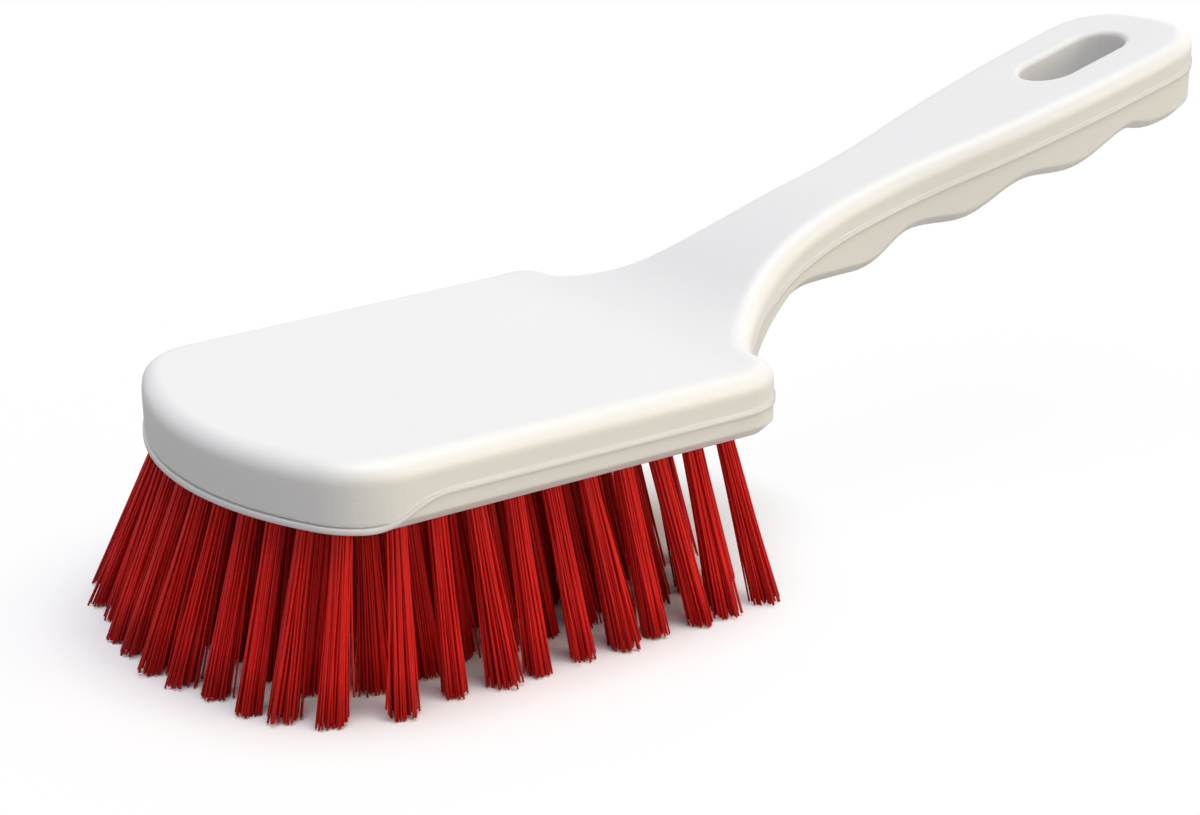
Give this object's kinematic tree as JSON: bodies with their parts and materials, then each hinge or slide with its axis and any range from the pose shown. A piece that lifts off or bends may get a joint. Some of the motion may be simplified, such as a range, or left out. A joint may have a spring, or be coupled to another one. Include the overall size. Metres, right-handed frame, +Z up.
{
  "type": "scrub brush",
  "caption": "Hand scrub brush: blunt-nosed moulded block with a raked handle, finger waves and hanging slot, drilled for splayed bristle tufts.",
  "frame": {"origin": "on the floor that the bristle tips stand on, under the middle of the bounding box", "axes": "+X from the nose towards the end of the handle, +Y across the block, +Z up out of its flat top"},
  "size_m": [0.263, 0.093, 0.0899],
  "materials": {
    "white_polypropylene": "satin moulded polypropylene",
    "red_bristle": "extruded polyester filament",
    "anchor_wire": "flat drawn wire"
  },
  "bodies": {
    "root": {"block_and_handle": "white_polypropylene", "tufts_row_01": "red_bristle", "tufts_row_02": "red_bristle", "tufts_row_03": "red_bristle", "tufts_row_04": "red_bristle", "tufts_row_05": "red_bristle", "tufts_row_06": "red_bristle", "tufts_row_07": "red_bristle", "tufts_row_08": "red_bristle", "tufts_row_09": "red_bristle", "tufts_row_10": "red_bristle", "tufts_row_11": "red_bristle", "tufts_row_12": "red_bristle", "anchors_row_01": "anchor_wire", "anchors_row_02": "anchor_wire", "anchors_row_03": "anchor_wire", "anchors_row_04": "anchor_wire", "anchors_row_05": "anchor_wire", "anchors_row_06": "anchor_wire", "anchors_row_07": "anchor_wire", "anchors_row_08": "anchor_wire", "anchors_row_09": "anchor_wire", "anchors_row_10": "anchor_wire", "anchors_row_11": "anchor_wire", "anchors_row_12": "anchor_wire"}
  },
  "joints": []
}
